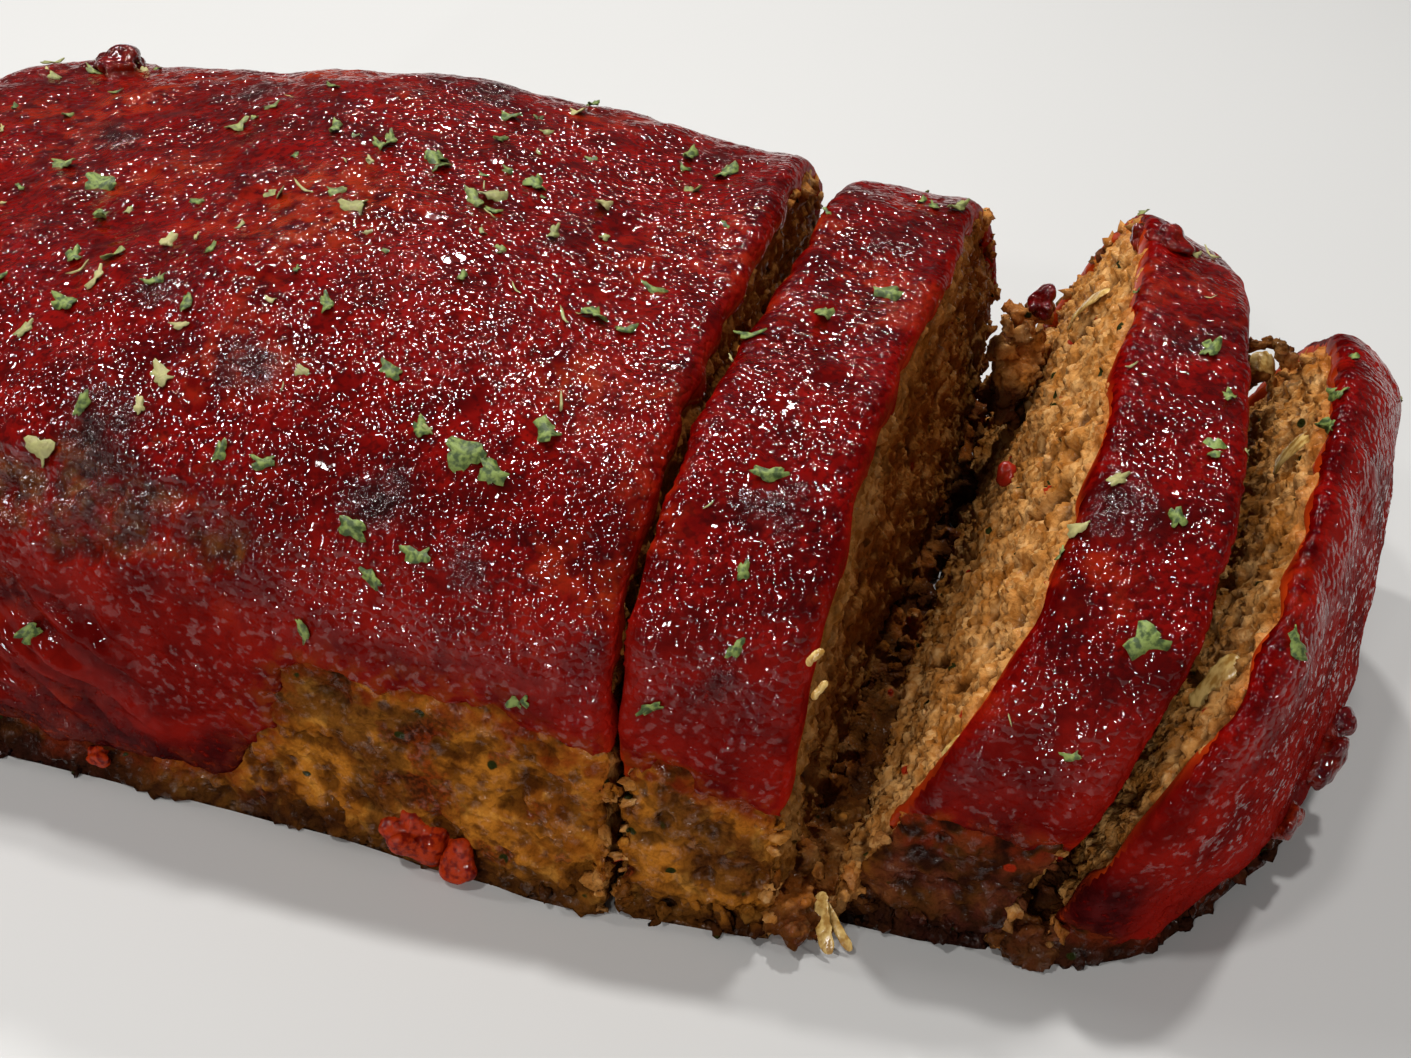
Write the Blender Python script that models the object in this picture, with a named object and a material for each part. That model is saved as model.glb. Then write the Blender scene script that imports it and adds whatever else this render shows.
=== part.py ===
"""A glazed meatloaf, partly sliced: an uncut block, two slices and the rounded end slice.

Each of the four pieces is a body of baked meat under its own coat of glaze. The loaf lies along X
and rests on z = 0, with its near side towards -Y. Sizes are in metres.
"""

import math

import bmesh
import bpy
import numpy as np
from mathutils import Vector, noise

MM = 0.001

# The loaf
FIRST_CUT_X = 24.5 * MM  # where the uncut block ends, measured from the middle of the whole
MIDDLE_Y = -1.8 * MM  # the block's centre line
BLOCK_LENGTH = 101 * MM  # the straight stretch of the block, up to where its end starts to round
BLOCK_END_DEPTH = 30 * MM
LOAF_TOP = 50.5 * MM  # the meat's height at the first cut
CROWN_RISE = 4.4 * MM  # how much higher the block stands halfway along

# The slices: where each one's left face stands, from the first cut, and how thick it is
SLICE_1_X = 5 * MM
SLICE_1_THICKNESS = 19 * MM
SLICE_2_X = 27.4 * MM
SLICE_2_THICKNESS = 18.6 * MM
END_SLICE_X = 52.8 * MM
END_SLICE_WALL = 1 * MM  # the straight stretch before its rounded end
END_SLICE_DEPTH = 26 * MM

# The foot of the loaf, which spreads a little as the meat settles
FOOT_HEIGHT = 8 * MM
FOOT_SPREAD = 0.03  # share of the half width

# How a rounded end bulges: a high power makes it blunt, and a leaning face stands up into it
BLOCK_END_POWER = 4
END_SLICE_POWER = 2.2
END_SLICE_SKEW = 0.22  # how much further the far half reaches, as a share of the depth
UPRIGHT_SHARE = 0.85

# The coat of glaze. Its lower edge wanders up and down by the wave's height.
COAT_GAP = 0.3 * MM
COAT_THICKNESS = 1.9 * MM
COAT_UNEVEN = 0.55 * MM
WAVE_LENGTH = 13 * MM
WAVE_HEIGHT = 3 * MM
LOWEST_EDGE = 1.6 * MM

# Hand-shaped lumps, and the crumb of the cut faces: how far apart they are and how high
LUMPS = ((30 * MM, 1.6 * MM), (11 * MM, 0.55 * MM))
CUT_CRUMB = (6 * MM, 0.45 * MM)
LUMP_SEEDS = (Vector((0.3, 0, 0)), Vector((0, 31.7, 0)), Vector((0, 0, 53.2)))
THICKNESS_SEED = Vector((7, 0, 0))

# Squares across the loaf, up its sides, and along each piece
ACROSS = 14
UP = ACROSS // 2
BLOCK_ALONG = 16
SLICE_ALONG = 3
OUTLINE_POINTS = 400
SIDE_SHARE = UP / (2 * UP + ACROSS)
SKIN, BASE, LEFT_CUT, RIGHT_CUT = range(4)
SEAM = 0.02 * MM
SHARP_EDGE = math.radians(50)

# The cutters: a slab that trims the glaze's lower edge, and the hollow for the meat
TRIM_DEPTH = 12 * MM
TRIM_HALF_WIDTH = 80 * MM
TRIM_MARGIN = 5 * MM
TRIM_STEP = 5 * MM
TRIM_ACROSS = 6
CROWN_HALF_WIDTH = 25 * MM  # the near edge's height gives way to the far edge's over the crown
RUN_ON = 5 * MM

MEAT_COLOUR = (0.30, 0.135, 0.042, 1)
MEAT_ROUGHNESS = 0.5
GLAZE_COLOUR = (0.235, 0.008, 0.005, 1)
GLAZE_ROUGHNESS = 0.25


class Face:
    """The loaf's outline at one end of a piece: where it stands, how it leans and how big it is."""

    def __init__(self, x, y, yaw, lean, width, height, powers, far_lift):
        self.foot = np.array([FIRST_CUT_X + x, MIDDLE_Y + y])
        self.yaw = math.radians(yaw)
        self.lean = [math.radians(angle) for angle in lean]
        self.width = width
        self.rim = outline(width, height, powers, far_lift)

    def point(self, v, h):
        """The place of a point v across the loaf and h above the base."""
        near, far = self.lean
        share = v / self.width + 0.5
        tip = h * math.tan(near + (far - near) * share)
        x = self.foot[0] - math.sin(self.yaw) * v + math.cos(self.yaw) * tip
        y = self.foot[1] + math.cos(self.yaw) * v + math.sin(self.yaw) * tip
        return Vector((x, y, h))


def outline(width, height, powers, far_lift):
    """The cross-section from near foot over the crown to far foot, evenly spaced by length."""
    side_power, crown_power = powers
    turn = np.linspace(0, np.pi, OUTLINE_POINTS)
    across = np.cos(turn)
    v = -width / 2 * np.sign(across) * np.abs(across) ** (2 / side_power)
    h = height * np.clip(np.sin(turn), 0, 1) ** (2 / crown_power)
    h *= 1 - far_lift * across * np.sin(turn)
    v *= 1 + FOOT_SPREAD * np.clip(1 - h / FOOT_HEIGHT, 0, 1) ** 2
    length = np.concatenate([[0], np.cumsum(np.hypot(np.diff(v), np.diff(h)))])
    return length / length[-1], v, h


def section_point(rim, b, c):
    """(v, h) of a point of the section's map: b runs across from -1 to 1, and c up from 0 to 1."""
    ring = max(abs(b), c)
    if ring == 0:
        return 0.0, 0.0
    share, v, h = rim
    if c >= abs(b):
        place = SIDE_SHARE + (b / ring + 1) / 2 * (1 - 2 * SIDE_SHARE)
    elif b < 0:
        place = c / ring * SIDE_SHARE
    else:
        place = 1 - c / ring * SIDE_SHARE
    return ring * float(np.interp(place, share, v)), ring * float(np.interp(place, share, h))


class Piece:
    """One piece of the loaf, lofted between two faces. A rounded end bulges past its face."""

    def __init__(self, name, left, right, along, crown=0):
        self.name = name
        self.faces = (left, right)
        self.along = along
        self.crown = crown
        self.rounded = None

    def round_end(self, side, depth, power, skew):
        """Gives the piece a rounded end on its left (0) or its right (1)."""
        self.rounded = side
        self.depth = depth
        self.power = 2 / power
        self.skew = skew

    def cut_sides(self):
        return [side for side in (0, 1) if side != self.rounded]

    def place(self, a, b, c):
        """Where the box's point (a, b, c) lies in the piece, before the lumps."""
        share, c = (a + 1) / 2, (c + 1) / 2
        bulge = 0
        if share == self.rounded:
            ring = max(abs(b), c)
            bulge = math.cos(ring * math.pi / 2) ** self.power
            if ring > 0:
                scale = math.sin(ring * math.pi / 2) ** self.power / ring
                b, c = b * scale, c * scale
        ends = []
        for face in self.faces:
            v, h = section_point(face.rim, b, c)
            upright = Vector((*face.point(v, 0).xy, h))
            ends.append(face.point(v, h).lerp(upright, UPRIGHT_SHARE * bulge))
        point = ends[0].lerp(ends[1], share)
        point.z *= 1 + self.crown * math.sin(math.pi * share) ** 2
        if bulge:
            face = self.faces[self.rounded]
            further = self.skew * (point.y - face.foot[1]) / (face.width / 2)
            out = self.depth * bulge * (1 + further) * (2 * self.rounded - 1)
            point += Vector((math.cos(face.yaw), math.sin(face.yaw), 0)) * out
        return point


def lumpy(point):
    """The point moved by the lumps of a loaf shaped by hand. The base stays flat."""
    moved = point.copy()
    for spacing, height in LUMPS:
        shift = Vector([noise.noise(point / spacing + away) for away in LUMP_SEEDS]) * height
        shift.z *= min(1, point.z / FOOT_HEIGHT)
        moved += shift
    return moved


def box_of_squares(along, across, up):
    """A closed box from -1 to 1, cut into even squares."""
    bm = bmesh.new()
    bmesh.ops.create_cube(bm, size=2)
    for axis, count in enumerate((along, across, up)):
        normal = Vector([float(axis == i) for i in range(3)])
        for i in range(1, count):
            place = normal * (2 * i / count - 1)
            everything = bm.verts[:] + bm.edges[:] + bm.faces[:]
            bmesh.ops.bisect_plane(bm, geom=everything, plane_co=place, plane_no=normal)
    return bm


def halve_squares(bm):
    """Halves each square along the diagonal that runs out from the middle of the base."""
    for face in bm.faces[:]:
        a, b, c, d = face.verts
        reach = [abs(vert.co.y) + vert.co.z for vert in (a, b, c, d)]
        if abs(reach[0] - reach[2]) > abs(reach[1] - reach[3]):
            bmesh.utils.face_split(face, a, c)
        else:
            bmesh.utils.face_split(face, b, d)


def form(piece):
    """The piece's meat. A face's kind says whether it is skin, a cut face or the base."""
    bm = box_of_squares(piece.along, ACROSS, UP)
    kind = bm.faces.layers.int.new("kind")
    for side in piece.cut_sides():
        for face in bm.faces:
            if all(round(vert.co.x, 6) == 2 * side - 1 for vert in face.verts):
                face[kind] = LEFT_CUT + side
    halve_squares(bm)
    for vert in bm.verts:
        vert.co = lumpy(piece.place(*(round(x, 6) for x in vert.co)))
    spacing, height = CUT_CRUMB
    for vert in bm.verts:
        if all(face[kind] >= LEFT_CUT for face in vert.link_faces):
            vert.co.x += noise.noise(vert.co / spacing) * height
    for face in bm.faces:
        if all(vert.co.z == 0 for vert in face.verts):
            face[kind] = BASE
    bmesh.ops.recalc_face_normals(bm, faces=bm.faces)
    return bm


def push_out(bm, distance, uneven=0):
    """Moves the skin of the form outwards along its own normals."""
    kind = bm.faces.layers.int["kind"]
    shifts = []
    for vert in bm.verts:
        normals = [face.normal * face.calc_area() for face in vert.link_faces if face[kind] == SKIN]
        if normals:
            here = distance + uneven * noise.noise(vert.co / LUMPS[1][0] + THICKNESS_SEED)
            shifts.append((vert, sum(normals, Vector()).normalized() * here))
    for vert, shift in shifts:
        vert.co += shift


def run_on(bm, piece):
    """Carries each cut face on past its place, so that the form cuts right through a coat."""
    kind = bm.faces.layers.int["kind"]
    for side in piece.cut_sides():
        yaw = piece.faces[side].yaw
        out = Vector((math.cos(yaw), math.sin(yaw), 0)) * (2 * side - 1)
        cut = [face for face in bm.faces if face[kind] == LEFT_CUT + side]
        grown = bmesh.ops.extrude_face_region(bm, geom=cut)["geom"]
        verts = [part for part in grown if isinstance(part, bmesh.types.BMVert)]
        bmesh.ops.translate(bm, vec=out * RUN_ON, verts=verts)
        bmesh.ops.delete(bm, geom=cut, context="FACES")


def new_object(name, bm, collection, material=None):
    """An object made from the form. One without a material is a cutter."""
    bmesh.ops.remove_doubles(bm, verts=bm.verts, dist=SEAM)
    bmesh.ops.recalc_face_normals(bm, faces=bm.faces)
    mesh = bpy.data.meshes.new(name)
    bm.to_mesh(mesh)
    bm.free()
    mesh.shade_smooth()
    mesh.set_sharp_from_angle(angle=SHARP_EDGE)
    made = bpy.data.objects.new(name, mesh)
    collection.objects.link(made)
    if material:
        mesh.materials.append(material)
    else:
        made.hide_render = True
        made.display_type = "WIRE"
    return made


def cut_from(made, cutter):
    modifier = made.modifiers.new("Cut by " + cutter.name, "BOOLEAN")
    modifier.operation = "DIFFERENCE"
    modifier.solver = "EXACT"
    modifier.object = cutter


def material_named(name, colour, roughness):
    made = bpy.data.materials.new(name)
    made.use_nodes = True
    shader = made.node_tree.nodes["Principled BSDF"]
    shader.inputs["Base Color"].default_value = colour
    shader.inputs["Roughness"].default_value = roughness
    shader.inputs["Metallic"].default_value = 0
    return made


def smooth_step(low, high, x):
    share = min(max((x - low) / (high - low), 0), 1)
    return share * share * (3 - 2 * share)


def trim_below(name, near_edge, far_edge, low, high, collection):
    """A slab whose wavy top is the lower edge of the glaze: what lies under it is bare meat."""
    steps = max(4, round((high - low) / TRIM_STEP))
    bm = box_of_squares(steps, TRIM_ACROSS, 1)
    for vert in bm.verts:
        x = low + (high - low) * (vert.co.x + 1) / 2
        y = vert.co.y * TRIM_HALF_WIDTH
        over = smooth_step(-CROWN_HALF_WIDTH, CROWN_HALF_WIDTH, y)
        edge = near_edge(x) + (far_edge(x) - near_edge(x)) * over
        edge += noise.noise(Vector((x, y, 0)) / WAVE_LENGTH) * WAVE_HEIGHT
        vert.co = (x, y, max(edge, LOWEST_EDGE) if vert.co.z > 0 else -TRIM_DEPTH)
    return new_object(name, bm, collection)


def build_piece(piece, near_edge, far_edge, parts, cutters, meat_material, glaze_material):
    """The meat and its coat: a thicker form, hollowed by the meat and trimmed at its lower edge."""
    meat = form(piece)
    outer = meat.copy()
    hollow = meat.copy()
    new_object(piece.name + "_meat", meat, parts, meat_material)

    push_out(outer, COAT_GAP + COAT_THICKNESS, COAT_UNEVEN)
    low = min(vert.co.x for vert in outer.verts) - TRIM_MARGIN
    high = max(vert.co.x for vert in outer.verts) + TRIM_MARGIN
    coat = new_object(piece.name + "_glaze", outer, parts, glaze_material)

    push_out(hollow, COAT_GAP)
    run_on(hollow, piece)
    cut_from(coat, new_object(piece.name + "_hollow", hollow, cutters))
    cut_from(coat, trim_below(piece.name + "_trim", near_edge, far_edge, low, high, cutters))


def block():
    """The uncut part, with a blunt rounded end on the left."""
    left = Face(-BLOCK_LENGTH, 0.5 * MM, 0, (0, 0), 107 * MM, 50 * MM, (3.8, 4.6), 0.10)
    right = Face(0, 0, 0, (0, 0), 109 * MM, LOAF_TOP, (3.6, 4.6), 0.09)
    piece = Piece("block", left, right, BLOCK_ALONG, CROWN_RISE / LOAF_TOP)
    piece.round_end(0, BLOCK_END_DEPTH, BLOCK_END_POWER, 0)
    return piece


def slice_1():
    """The slice next to the block, standing almost upright."""
    left_x, right_x = SLICE_1_X, SLICE_1_X + SLICE_1_THICKNESS
    left = Face(left_x, -1.5 * MM, -4.3, (-1, -1), 105 * MM, 50.5 * MM, (3.4, 4.4), 0.05)
    right = Face(right_x, 0, -4.3, (-1, -1), 106 * MM, 50.5 * MM, (3.3, 4.0), 0.05)
    return Piece("slice_1", left, right, SLICE_ALONG)


def slice_2():
    """The second slice, which leans away from the block."""
    left_x, right_x = SLICE_2_X, SLICE_2_X + SLICE_2_THICKNESS
    left = Face(left_x, 5 * MM, -3, (21.5, 18), 107 * MM, 52.5 * MM, (2.6, 2.8), 0.12)
    right = Face(right_x, 1.5 * MM, -3, (18.5, 10), 99 * MM, 50.5 * MM, (2.6, 2.8), 0.06)
    return Piece("slice_2", left, right, SLICE_ALONG)


def end_slice():
    """The end of the loaf, which leans the same way and is rounded on its outer side."""
    left_x, right_x = END_SLICE_X, END_SLICE_X + END_SLICE_WALL
    left = Face(left_x, -4 * MM, -6.5, (19, 19.5), 87 * MM, 45 * MM, (2.6, 4.4), 0.08)
    right = Face(right_x, -4 * MM, -6.5, (18, 18.5), 87 * MM, 45 * MM, (2.6, 4.4), 0.08)
    piece = Piece("end_slice", left, right, 1)
    piece.round_end(1, END_SLICE_DEPTH, END_SLICE_POWER, END_SLICE_SKEW)
    return piece


def level(height):
    """A lower edge of the glaze that keeps one height."""
    return lambda x: height


def bare_side(x):
    """The block's near side: glazed down to its foot, then bare below the shoulder near the cut."""
    x -= FIRST_CUT_X
    rise = smooth_step(-48 * MM, -38 * MM, x) * 25 * MM
    return 2.5 * MM + rise - smooth_step(-17 * MM, -3 * MM, x) * 3.5 * MM


def main():
    for old in list(bpy.data.objects):
        bpy.data.objects.remove(old)
    parts = bpy.data.collections.new("meatloaf")
    cutters = bpy.data.collections.new("cutters")
    bpy.context.scene.collection.children.link(parts)
    bpy.context.scene.collection.children.link(cutters)
    meat = material_named("baked_meat", MEAT_COLOUR, MEAT_ROUGHNESS)
    glaze = material_named("baked_glaze", GLAZE_COLOUR, GLAZE_ROUGHNESS)
    for piece, near_edge, far_edge in (
        (block(), bare_side, level(11 * MM)),
        (slice_1(), level(22 * MM), level(13 * MM)),
        (slice_2(), level(18 * MM), level(12 * MM)),
        (end_slice(), level(6 * MM), level(8 * MM)),
    ):
        build_piece(piece, near_edge, far_edge, parts, cutters, meat, glaze)


main()
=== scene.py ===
import math
import random

import bpy
import numpy as np
from mathutils import Matrix, Vector, noise
from mathutils.bvhtree import BVHTree
from mathutils.kdtree import KDTree


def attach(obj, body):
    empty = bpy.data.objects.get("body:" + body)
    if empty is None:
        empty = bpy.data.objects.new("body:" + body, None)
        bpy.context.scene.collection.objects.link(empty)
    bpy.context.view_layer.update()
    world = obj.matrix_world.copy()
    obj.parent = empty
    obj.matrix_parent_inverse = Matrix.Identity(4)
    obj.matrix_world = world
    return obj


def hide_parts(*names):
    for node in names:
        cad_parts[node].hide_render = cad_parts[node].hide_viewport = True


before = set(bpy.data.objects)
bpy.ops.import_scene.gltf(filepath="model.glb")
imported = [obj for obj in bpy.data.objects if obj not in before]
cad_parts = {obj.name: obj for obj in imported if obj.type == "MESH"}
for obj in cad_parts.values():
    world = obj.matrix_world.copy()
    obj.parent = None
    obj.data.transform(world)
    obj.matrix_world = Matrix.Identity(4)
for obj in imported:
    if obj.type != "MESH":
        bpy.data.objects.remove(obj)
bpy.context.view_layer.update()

# ----------------------------------------------------------
# The block's meat: coarse ground meat, pressed into a loaf by hand and baked. Its outside has
# browned to a moist crust, and the knife has opened the cut face, which is a rough crumb. It is
# remade from its solid, rounded and roughened, and kept fine only where the glaze leaves it bare.
# ----------------------------------------------------------

MM = 0.001
SKIN, CUT, BASE = range(3)
SHARP = math.radians(50)
STILL_FLAT = math.radians(50)
STILL_SQUARE = math.radians(60)
CUT_FACE_SLOPE = 0.6
UNDERSIDE_SLOPE = -0.9
GLAZE_REACH = 1.4 * MM
BLOCK_SQUARE = 0.65 * MM
UNSEEN_SHARE = 0.08
EDGE_LIFT = 6


def only(piece):
    """Selects this piece alone and makes it the one that operators act on."""
    for other in bpy.context.selected_objects:
        other.select_set(False)
    piece.select_set(True)
    bpy.context.view_layer.objects.active = piece


def finish_with(piece, kind, **settings):
    """Adds a modifier and applies it."""
    only(piece)
    modifier = piece.modifiers.new(kind.title(), kind)
    for name, value in settings.items():
        setattr(modifier, name, value)
    bpy.ops.object.modifier_apply(modifier=modifier.name)


def smooth(piece, times, **settings):
    """Evens a piece out by this many small steps."""
    finish_with(piece, "SMOOTH", factor=0.5, iterations=times, **settings)


def remake(piece, square):
    """Remakes a closed piece in small even squares of this size."""
    finish_with(piece, "REMESH", mode="VOXEL", voxel_size=square, use_smooth_shade=True)


def stand(name, data):
    """A new object in the scene, which shows this data."""
    made = bpy.data.objects.new(name, data)
    bpy.context.scene.collection.objects.link(made)
    return made


def copy_named(name, mesh):
    """A new object with its own copy of this mesh."""
    made = stand(name, mesh.copy())
    made.data.name = name
    return made


def rounded_form(node, cut_sides):
    """The solid of a piece with its facets rounded off and its cut edges kept sharp."""
    form = copy_named(node + "_form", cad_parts[node].data)
    form.data.materials.clear()
    only(form)
    bpy.ops.object.mode_set(mode="EDIT")
    bpy.ops.mesh.select_all(action="SELECT")
    bpy.ops.mesh.customdata_custom_splitnormals_clear()
    bpy.ops.mesh.remove_doubles(threshold=0.01 * MM)
    bpy.ops.mesh.tris_convert_to_quads(face_threshold=STILL_FLAT, shape_threshold=STILL_SQUARE)
    bpy.ops.mesh.select_mode(type="EDGE")
    bpy.ops.mesh.select_all(action="DESELECT")
    bpy.ops.mesh.edges_select_sharp(sharpness=SHARP)
    bpy.ops.transform.edge_crease(value=1)
    bpy.ops.object.mode_set(mode="OBJECT")
    kind = form.data.attributes.new("kind", "INT", "FACE")
    for face, row in zip(form.data.polygons, kind.data):
        if face.normal.z < UNDERSIDE_SLOPE:
            row.value = BASE
        elif any(side * face.normal.x > CUT_FACE_SLOPE for side in cut_sides):
            row.value = CUT
        else:
            row.value = SKIN
    finish_with(form, "SUBSURF", levels=3, render_levels=3)
    return form


def places_of(mesh):
    """The places of a mesh's vertices, as rows of x, y and z."""
    places = np.empty(len(mesh.vertices) * 3)
    mesh.vertices.foreach_get("co", places)
    return places.reshape(-1, 3)


def move_to(mesh, places):
    """Moves a mesh's vertices to these places."""
    mesh.vertices.foreach_set("co", places.ravel())
    mesh.update()


def edge_ends(mesh):
    """The two vertices of each edge."""
    ends = np.empty(len(mesh.edges) * 2, int)
    mesh.edges.foreach_get("vertices", ends)
    return ends.reshape(-1, 2)


def directions_of(mesh):
    """Which way the surface faces at each vertex."""
    outward = np.empty(len(mesh.vertices) * 3)
    mesh.vertices.foreach_get("normal", outward)
    return outward.reshape(-1, 3)


def tree_of(points):
    """A tree that finds the nearest of these points."""
    tree = KDTree(len(points))
    for index, point in enumerate(points):
        tree.insert(point, index)
    tree.balance()
    return tree


def shell_of(mesh):
    """A tree that finds the nearest place on a mesh, or where a ray meets it."""
    return BVHTree.FromPolygons([v.co for v in mesh.vertices], [f.vertices for f in mesh.polygons])


def smooth_step(low, high, x):
    """0 below low, 1 above high, and smooth between."""
    share = np.clip((x - low) / (high - low), 0, 1)
    return share * share * (3 - 2 * share)


def note(mesh, **values):
    """Keeps a number at each vertex, for the finish to read."""
    for name, numbers in values.items():
        row = mesh.attributes.get(name) or mesh.attributes.new(name, "FLOAT", "POINT")
        row.data.foreach_set("value", np.asarray(numbers, dtype=np.float32))


class Dense:
    """A piece's form remade in small even squares, with what each of its points is near."""

    def __init__(self, node, glaze_node, cut_sides, square):
        form = rounded_form(node, cut_sides)
        self.piece = copy_named(node + "_dense", form.data)
        remake(self.piece, square)
        smooth(self.piece, 4)
        self.even_rims(form.data)
        self.places = places_of(self.piece.data)
        self.near_form(form.data)
        low = (self.kind == BASE) | (self.places[:, 2] < 0)
        self.places[low, 2] = 0
        move_to(self.piece.data, self.places)
        self.out = self.even_directions()
        self.near_glaze(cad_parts[glaze_node].data, self.piece.data)
        bpy.data.objects.remove(form)

    def even_directions(self):
        """Which way each point faces, evened out over its neighbours so that a rim has no steps."""
        calm = copy_named("calm", self.piece.data)
        smooth(calm, 10)
        facing = directions_of(calm.data)
        bpy.data.objects.remove(calm)
        return facing

    def even_rims(self, form):
        """Finds the rims of the cut faces on the form, and takes the steps of the remake out of them."""
        kind = np.array([row.value for row in form.attributes["kind"].data])
        touching = {}
        for face in form.polygons:
            for edge in face.edge_keys:
                touching.setdefault(edge, set()).add(kind[face.index])
        rim = [edge for edge, kinds in touching.items() if kinds == {SKIN, CUT}]
        ends = [(form.vertices[a].co, form.vertices[b].co) for a, b in rim]
        shares = np.arange(0.05, 1, 0.1)
        self.rim_points = np.array([a.lerp(b, share) for a, b in ends for share in shares])
        rim_tree = tree_of(self.rim_points)
        near = [v.index for v in self.piece.data.vertices if rim_tree.find(v.co)[2] < 2 * MM]
        self.piece.vertex_groups.new(name="rims").add(near, 1, "REPLACE")
        smooth(self.piece, 40, vertex_group="rims")
        self.piece.vertex_groups.clear()

    def near_form(self, form):
        """What kind of surface each point is on, and its distance to the rim of a cut face."""
        kind = np.array([row.value for row in form.attributes["kind"].data])
        shell = shell_of(form)
        self.kind = kind[[shell.find_nearest(place)[2] for place in self.places]]
        rim_tree = tree_of(self.rim_points)
        self.rim = np.array([rim_tree.find(place)[2] for place in self.places])
        self.cut = 0.5 + np.where(self.kind == CUT, 0.5, -0.5) * np.clip(self.rim / MM, 0, 1)

    def near_glaze(self, glaze, mesh):
        """How far inside the glaze's edge each point lies: negative where the meat is bare."""
        coat = shell_of(glaze)
        gap = np.array([coat.find_nearest(place)[3] for place in self.places])
        covered = (gap < GLAZE_REACH) & (self.kind == SKIN)
        a, b = edge_ends(mesh).T
        both_skin = (self.kind[a] == SKIN) & (self.kind[b] == SKIN)
        crossing = both_skin & (covered[a] != covered[b])
        edge_tree = tree_of((self.places[a] + self.places[b])[crossing] / 2)
        far = np.array([edge_tree.find(place)[2] for place in self.places])
        coated_rim = tree_of([p for p in self.rim_points if coat.find_nearest(p)[3] < GLAZE_REACH])
        self.past_rim = np.array([coated_rim.find(place)[2] for place in self.places])
        self.inside = np.where(covered, far, -far)
        self.inside = np.where(self.kind == CUT, -self.past_rim, self.inside)


def bumps(places, size, seed):
    """Soft uneven bumps of about this size, between -1 and 1."""
    return np.array([noise.noise(place) for place in (places / size + 7.3 * seed).tolist()])


def grains(places, size, seed):
    """Drawn-out grains with creases between them: 0 in a crease and 1 on the crown of each."""
    drift = np.stack([bumps(places, 1.8 * size, seed + way) for way in range(3)], axis=1)
    starts = (places / size + 1.5 * drift + 5.1 * seed).tolist()
    nearest = (noise.voronoi(start)[0] for start in starts)
    return smooth_step(0, 0.5, np.array([second - first for first, second, *_ in nearest]))


def roughen(dense):
    """How far the meat stands out from its smooth form, coarse on a cut face and milder on the crust."""
    big = grains(dense.places, 2.6 * MM, 1)
    fine = grains(dense.places, 1.3 * MM, 2)
    broad = bumps(dense.places, 9 * MM, 3)
    middle = bumps(dense.places, 3.2 * MM, 6)
    pits = smooth_step(0.2, 0.5, bumps(dense.places, 3.6 * MM, 4))
    foot = 1 - smooth_step(2 * MM, 9 * MM, dense.places[:, 2])
    crumb = 0.7 * (big - 0.6) + 0.45 * (fine - 0.5) + 0.9 * broad + 0.9 * middle - 1.7 * pits
    crust = 0.28 * (big - 0.6) + 0.2 * (fine - 0.5) + 0.9 * broad + 0.45 * middle - 0.7 * pits
    crust = crust + foot * (0.4 * (big - 0.3) + 1.3 * bumps(dense.places, 6 * MM, 5))
    height = np.where(dense.kind == BASE, 0, crust + (crumb - crust) * smooth_step(0.2, 0.9, dense.cut))
    # The meat's own grain, made lowest in the creases and pits that the height carves, where the finish
    # paints shade.
    grain = 0.5 * big + 0.35 * fine + 0.5 * middle - 0.9 * pits
    return height * MM, grain


def meat_piece(name, dense, bare):
    """The meat itself: roughened where it is bare and made coarse again where nothing shows."""
    piece = copy_named(name, dense.piece.data)
    mesh = piece.data
    height, grain = roughen(dense)
    dense.height = height
    places = dense.places + dense.out * height[:, None]
    places[:, 2] = np.maximum(places[:, 2], 0)
    places[dense.kind == BASE, 2] = 0
    move_to(mesh, places)
    note(mesh, cut=dense.cut, grain=grain, bare=-bare / MM, rim=dense.past_rim / MM, facing=dense.out[:, 0])
    unseen = (bare > 3 * MM) | ((dense.kind == BASE) & (dense.rim > 2 * MM))
    thin_out(piece, unseen, UNSEEN_SHARE)
    return piece


def pick(piece, chosen):
    """Selects these vertices and opens the piece for editing."""
    only(piece)
    mesh = piece.data
    mesh.polygons.foreach_set("select", np.zeros(len(mesh.polygons), bool))
    mesh.edges.foreach_set("select", np.zeros(len(mesh.edges), bool))
    mesh.vertices.foreach_set("select", np.asarray(chosen, bool))
    bpy.ops.object.mode_set(mode="EDIT")
    bpy.ops.mesh.select_mode(type="VERT")


def thin_out(piece, chosen, share):
    """Leaves only a share of the faces where these vertices are."""
    pick(piece, chosen)
    bpy.ops.mesh.decimate(ratio=share)
    bpy.ops.object.mode_set(mode="OBJECT")


def sum_of(operation, swapped=False):
    """A sum of a value and a number, or of two values. Swapped, the second comes first."""

    def work_out(self, other):
        first, second = (other, self) if swapped else (self, other)
        return self.add("Math", {"operation": operation}, {0: first, 1: second})

    return work_out


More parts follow.
